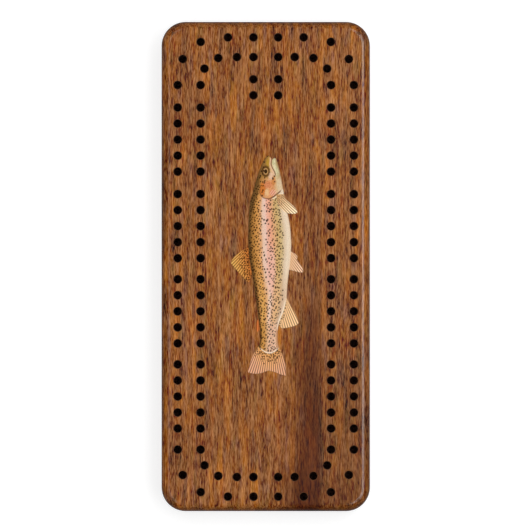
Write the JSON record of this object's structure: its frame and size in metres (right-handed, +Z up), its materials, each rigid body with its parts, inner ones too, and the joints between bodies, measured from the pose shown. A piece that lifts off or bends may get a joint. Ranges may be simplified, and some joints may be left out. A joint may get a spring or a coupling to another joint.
{
  "type": "cribbage board",
  "caption": "Rectangular two-track cribbage board with rounded edges, a printed trout, rubber feet and a peg pocket in its back under a swivelling brass cover.",
  "frame": {"origin": "centre of the footprint on the plane the rubber feet stand on", "axes": "+Y along the board towards the start holes and the trout's head, +X to the right seen from above, +Z up through the playing face"},
  "size_m": [0.0826, 0.194, 0.0231],
  "materials": {
    "board_wood": "satin lacquer over straight-grained reddish-brown hardwood",
    "picture_ink": "cured printing ink, satin",
    "cover_brass": "brushed along its length",
    "screw_brass": "turned",
    "foot_rubber": "matte",
    "peg_brass": "turned and polished",
    "peg_steel": "turned and plated"
  },
  "bodies": {
    "board_body": {"board": "board_wood", "trout_print": "picture_ink", "pivot_screw": "screw_brass", "friction_washer": "screw_brass", "front_left_foot": "foot_rubber", "front_right_foot": "foot_rubber", "rear_left_foot": "foot_rubber", "rear_right_foot": "foot_rubber"},
    "cover": {"storage_cover": "cover_brass"},
    "brass_peg_a": {"brass_peg_1": "peg_brass"},
    "brass_peg_b": {"brass_peg_2": "peg_brass"},
    "steel_peg_a": {"steel_peg_1": "peg_steel"},
    "steel_peg_b": {"steel_peg_2": "peg_steel"}
  },
  "joints": [
    {"name": "cover_swing", "type": "hinge", "parent": "board_body", "child": "cover", "pos_m": [0, -0.0235, 0.00355], "axis": [0, 0, 1], "continuous": true},
    {"name": "brass_peg_a_slide", "type": "slide", "parent": "board_body", "child": "brass_peg_a", "axis": [0, 1, 0], "range_m": [-0.0021, 0.0024]},
    {"name": "brass_peg_b_slide", "type": "slide", "parent": "board_body", "child": "brass_peg_b", "axis": [0, 1, 0], "range_m": [-0.0024, 0.0024]},
    {"name": "steel_peg_a_slide", "type": "slide", "parent": "board_body", "child": "steel_peg_a", "axis": [0, 1, 0], "range_m": [-0.0024, 0.0024]},
    {"name": "steel_peg_b_slide", "type": "slide", "parent": "board_body", "child": "steel_peg_b", "axis": [0, 1, 0], "range_m": [-0.0015, 0.0021]}
  ]
}
